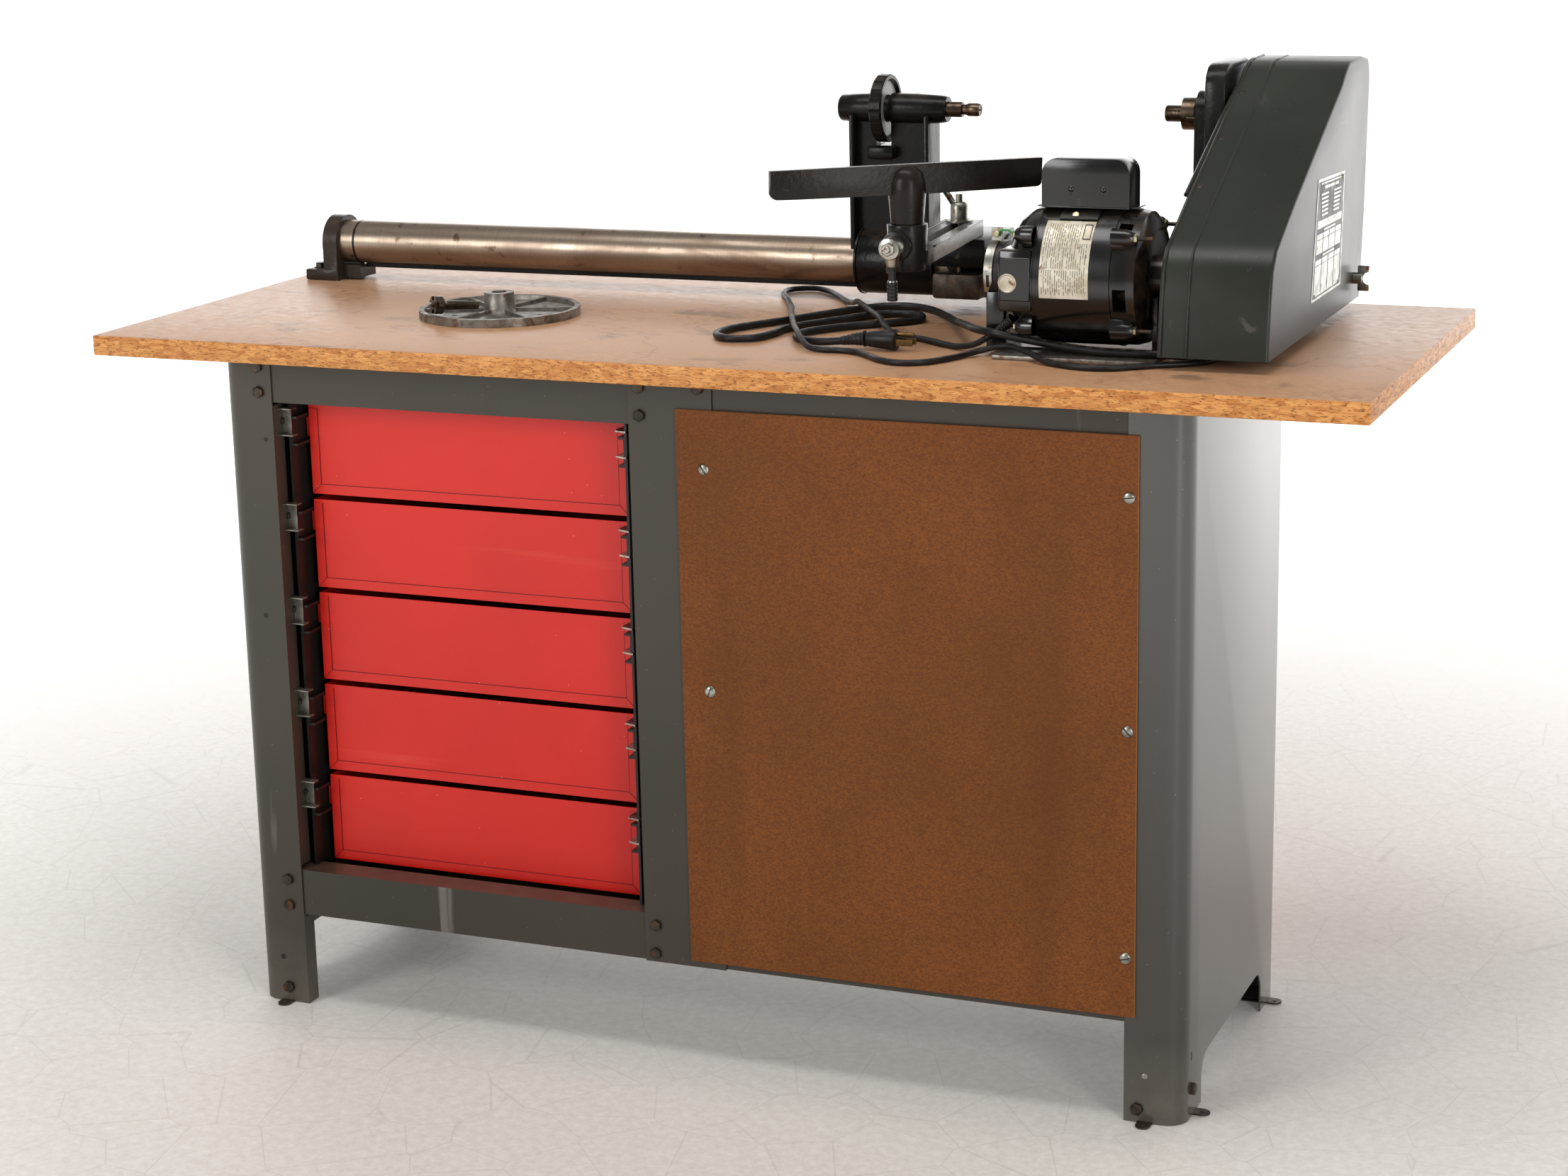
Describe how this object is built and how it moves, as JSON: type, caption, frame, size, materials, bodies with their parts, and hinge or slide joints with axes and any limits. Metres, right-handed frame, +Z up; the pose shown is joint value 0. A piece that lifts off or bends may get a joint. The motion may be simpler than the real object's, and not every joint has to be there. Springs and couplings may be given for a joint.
{
  "type": "wood lathe",
  "caption": "Single-tube wood lathe with motor, belt guard, tool rest and tailstock, bolted to a steel drawer bench with a particle-board top.",
  "frame": {"origin": "On the floor, under the middle of the bench top.", "axes": "+X towards the headstock and belt guard, +Y towards the operator, +Z up."},
  "size_m": [1.524, 0.61, 1.143],
  "materials": {
    "board": "satin",
    "cabinet_paint": "satin",
    "drawer_paint": "satin",
    "hardboard": "matte",
    "zinc": "satin",
    "bed_steel": "satin",
    "casting_paint": "gloss",
    "bright_steel": "satin",
    "brown_steel": "matte",
    "guard_paint": "satin",
    "motor_paint": "gloss",
    "bronze": "satin",
    "rubber": "matte",
    "aluminium": "satin",
    "grey_iron": "matte",
    "switch_red": "gloss"
  },
  "bodies": {
    "frame": {"bench_top": "board", "side_panel_left": "cabinet_paint", "side_panel_right": "cabinet_paint", "centre_post": "cabinet_paint", "rail_upper": "cabinet_paint", "rail_lower": "cabinet_paint", "front_frame": "cabinet_paint", "back_panel": "hardboard", "cabinet_floor": "cabinet_paint", "slide_rack_left": "cabinet_paint", "slide_rack_right": "cabinet_paint", "bed_tube": "bed_steel", "bed_foot": "casting_paint", "headstock": "casting_paint", "bearing_inboard": "bright_steel", "bearing_outboard": "bright_steel", "guard_back": "guard_paint", "cover_hinge": "guard_paint", "drive_belt": "rubber", "motor_shell": "motor_paint", "motor_bell_left": "motor_paint", "motor_bell_right": "motor_paint", "capacitor_cover": "motor_paint", "motor_stator": "grey_iron", "motor_cradle": "motor_paint", "motor_ring": "rubber", "motor_plate": "grey_iron", "switch_box": "motor_paint", "supply_cord": "rubber", "motor_cord": "rubber", "cord_plug": "rubber"},
    "spindle_body": {"spindle": "bright_steel", "spindle_pulley": "aluminium"},
    "rotor_body": {"motor_rotor": "bright_steel", "motor_pulley": "aluminium"},
    "index_pin_body": {"index_pin": "bright_steel"},
    "cover_body": {"belt_cover": "guard_paint"},
    "wing_screw_body": {"wing_screw": "zinc"},
    "tail_body": {"tailstock": "casting_paint"},
    "wheel_body": {"handwheel": "casting_paint"},
    "quill_body": {"quill": "bronze", "cup_centre": "bronze"},
    "rest_base_body": {"rest_base": "casting_paint", "rest_jaw": "brown_steel"},
    "rest_clamp_body": {"rest_clamp_lever": "zinc"},
    "stud_body": {"rest_stud": "bright_steel", "rest_nut": "zinc"},
    "arm_body": {"rest_arm": "casting_paint"},
    "post_body": {"rest_post": "bright_steel"},
    "tool_rest_body": {"tool_rest": "casting_paint"},
    "rest_lever_body": {"rest_lever": "zinc"},
    "switch_rocker_body": {"switch_rocker": "switch_red"},
    "cupboard_door_body": {"cupboard_door": "drawer_paint"},
    "faceplate_body": {"faceplate": "grey_iron"},
    "spur_centre_body": {"spur_centre": "bronze"},
    "drawer_1_body": {"drawer_1": "drawer_paint"},
    "drawer_2_body": {"drawer_2": "drawer_paint"},
    "drawer_3_body": {"drawer_3": "drawer_paint"},
    "drawer_4_body": {"drawer_4": "drawer_paint"},
    "drawer_5_body": {"drawer_5": "drawer_paint"}
  },
  "joints": [
    {"name": "rotor_spin", "type": "hinge", "parent": "frame", "child": "rotor_body", "pos_m": [0.42, -0.105, 0.933], "axis": [1, 0, 0], "continuous": true},
    {"name": "spindle_spin", "type": "hinge", "parent": "frame", "child": "spindle_body", "pos_m": [0.4155, 0.185, 1.0807], "axis": [1, 0, 0], "continuous": true},
    {"name": "index_pin_slide", "type": "slide", "parent": "frame", "child": "index_pin_body", "axis": [1, 0, 0], "range_m": [-0.004, 0]},
    {"name": "cover_hinge_joint", "type": "hinge", "parent": "frame", "child": "cover_body", "pos_m": [0.5054, 0.048, 1.067], "axis": [0, -0.9162, -0.4008], "range_deg": [0, 42]},
    {"name": "wing_screw_turn", "type": "hinge", "parent": "cover_body", "child": "wing_screw_body", "pos_m": [0.62, 0.2365, 0.8872], "axis": [1, 0, 0], "range_deg": [0, 720]},
    {"name": "tailstock_slide", "type": "slide", "parent": "frame", "child": "tail_body", "axis": [1, 0, 0], "range_m": [-0.655, 0.01]},
    {"name": "handwheel_turn", "type": "hinge", "parent": "tail_body", "child": "wheel_body", "pos_m": [0.065, 0.185, 1.0807], "axis": [1, 0, 0], "range_deg": [-90, 3600]},
    {"name": "quill_feed", "type": "slide", "parent": "tail_body", "child": "quill_body", "axis": [1, 0, 0], "range_m": [-0.0009, 0.0322]},
    {"name": "rest_base_slide", "type": "slide", "parent": "frame", "child": "rest_base_body", "axis": [1, 0, 0], "range_m": [-0.012, 0.06]},
    {"name": "rest_clamp_turn", "type": "hinge", "parent": "rest_base_body", "child": "rest_clamp_body", "pos_m": [0.176, 0.2255, 0.902], "axis": [0, 1, 0], "range_deg": [-40, 40]},
    {"name": "arm_swivel", "type": "hinge", "parent": "rest_base_body", "child": "stud_body", "pos_m": [0.184, 0.111, 0.94], "axis": [0, 0, 1], "range_deg": [-45, 12]},
    {"name": "arm_slide", "type": "slide", "parent": "stud_body", "child": "arm_body", "axis": [-0.0776, 0.997, 0], "range_m": [0, 0.095]},
    {"name": "post_lift", "type": "slide", "parent": "arm_body", "child": "post_body", "axis": [0, 0, 1], "range_m": [0, 0.03]},
    {"name": "rest_turn", "type": "hinge", "parent": "post_body", "child": "tool_rest_body", "pos_m": [0.202, -0.12, 1], "axis": [0, 0, 1], "range_deg": [-28, 120]},
    {"name": "rest_lock_turn", "type": "hinge", "parent": "arm_body", "child": "rest_lever_body", "pos_m": [0.198, -0.1495, 0.9625], "axis": [0, 1, 0], "range_deg": [-60, 60]},
    {"name": "switch_toggle", "type": "hinge", "parent": "frame", "child": "switch_rocker_body", "pos_m": [0.4795, 0.2883, 1.07], "axis": [1, 0, 0], "range_deg": [-6, 6]},
    {"name": "cupboard_door_hinge", "type": "hinge", "parent": "frame", "child": "cupboard_door_body", "pos_m": [0.512, 0.2004, 0.47], "axis": [0, 0, -1], "range_deg": [0, 100]},
    {"name": "faceplate_lift", "type": "slide", "parent": "frame", "child": "faceplate_body", "axis": [0, 0, 1], "range_m": [0, 0.1]},
    {"name": "spur_centre_lift", "type": "slide", "parent": "faceplate_body", "child": "spur_centre_body", "axis": [0, 0, 1], "range_m": [0, 0.1]},
    {"name": "drawer_1_slide", "type": "slide", "parent": "frame", "child": "drawer_1_body", "axis": [0, 1, 0], "range_m": [0, 0.33]},
    {"name": "drawer_2_slide", "type": "slide", "parent": "frame", "child": "drawer_2_body", "axis": [0, 1, 0], "range_m": [0, 0.33]},
    {"name": "drawer_3_slide", "type": "slide", "parent": "frame", "child": "drawer_3_body", "axis": [0, 1, 0], "range_m": [0, 0.33]},
    {"name": "drawer_4_slide", "type": "slide", "parent": "frame", "child": "drawer_4_body", "axis": [0, 1, 0], "range_m": [0, 0.33]},
    {"name": "drawer_5_slide", "type": "slide", "parent": "frame", "child": "drawer_5_body", "axis": [0, 1, 0], "range_m": [0, 0.33]}
  ],
  "couplings": [
    {"joint": "spindle_spin", "follows": "rotor_spin", "ratio": 0.531},
    {"joint": "quill_feed", "follows": "handwheel_turn", "m_per_rad": 0.000505}
  ]
}
